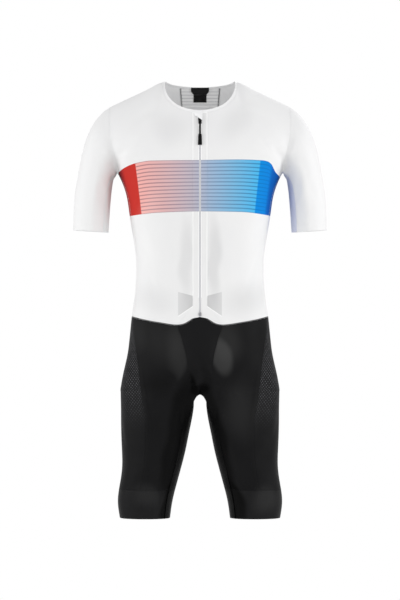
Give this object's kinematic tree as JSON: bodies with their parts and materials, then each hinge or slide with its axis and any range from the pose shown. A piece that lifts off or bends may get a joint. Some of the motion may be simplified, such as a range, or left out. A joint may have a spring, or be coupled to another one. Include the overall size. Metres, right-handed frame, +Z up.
{
  "type": "cycling skinsuit",
  "caption": "One-piece cycling skinsuit, filled out as worn: front zip, short set-in sleeves, knee-length shorts with mesh sides and wide gripper bands; the pull tab lifts.",
  "frame": {"origin": "midway between the two points where the shoulder seams' line meets the neck edge, level with them: where the wearer's shoulders carry the suit", "axes": "+Z up, -Y the front of the suit (the zip side), +X the wearer's left"},
  "size_m": [0.578, 0.2389, 0.9957],
  "materials": {
    "white_jersey": "smooth polyamide-elastane jersey, soft sheen",
    "ribbed_jersey": "white jersey with fine cross ribs",
    "binding": "folded white elastane tape",
    "zip_band": "bonded white woven tape, matt",
    "zip_coil": "grey polyamide coil",
    "zip_hardware": "black lacquer",
    "zip_stop": "dark plated metal",
    "loop_and_label": "black woven tape and satin label",
    "black_jersey": "smooth black elastane, satin highlights",
    "black_mesh": "black dimpled mesh knit",
    "gripper_band": "black silicone-backed elastic, satin"
  },
  "bodies": {
    "suit": {"front_left": "white_jersey", "front_right": "white_jersey", "side_left": "white_jersey", "side_right": "white_jersey", "back_left": "white_jersey", "back_right": "white_jersey", "back_centre": "ribbed_jersey", "sleeve_left": "white_jersey", "sleeve_right": "white_jersey", "sleeve_under_left": "white_jersey", "sleeve_under_right": "white_jersey", "neck_binding": "binding", "zip_tape_left": "zip_band", "zip_tape_right": "zip_band", "zip_garage": "binding", "zip_coil": "zip_coil", "zip_slider": "zip_hardware", "zip_stop": "zip_stop", "hanger_loop": "loop_and_label", "neck_label": "loop_and_label", "shorts_front_centre": "black_jersey", "leg_front_left": "black_jersey", "leg_front_right": "black_jersey", "seat_left": "black_jersey", "seat_right": "black_jersey", "leg_side_left": "black_mesh", "leg_side_right": "black_mesh", "leg_band_left": "gripper_band", "leg_band_right": "gripper_band"},
    "pull": {"zip_pull": "zip_hardware"}
  },
  "joints": [
    {"name": "pull_lift", "type": "hinge", "parent": "suit", "child": "pull", "pos_m": [0, -0.08872, -0.09227], "axis": [-1, 0, 0], "range_deg": [0, 160]}
  ]
}
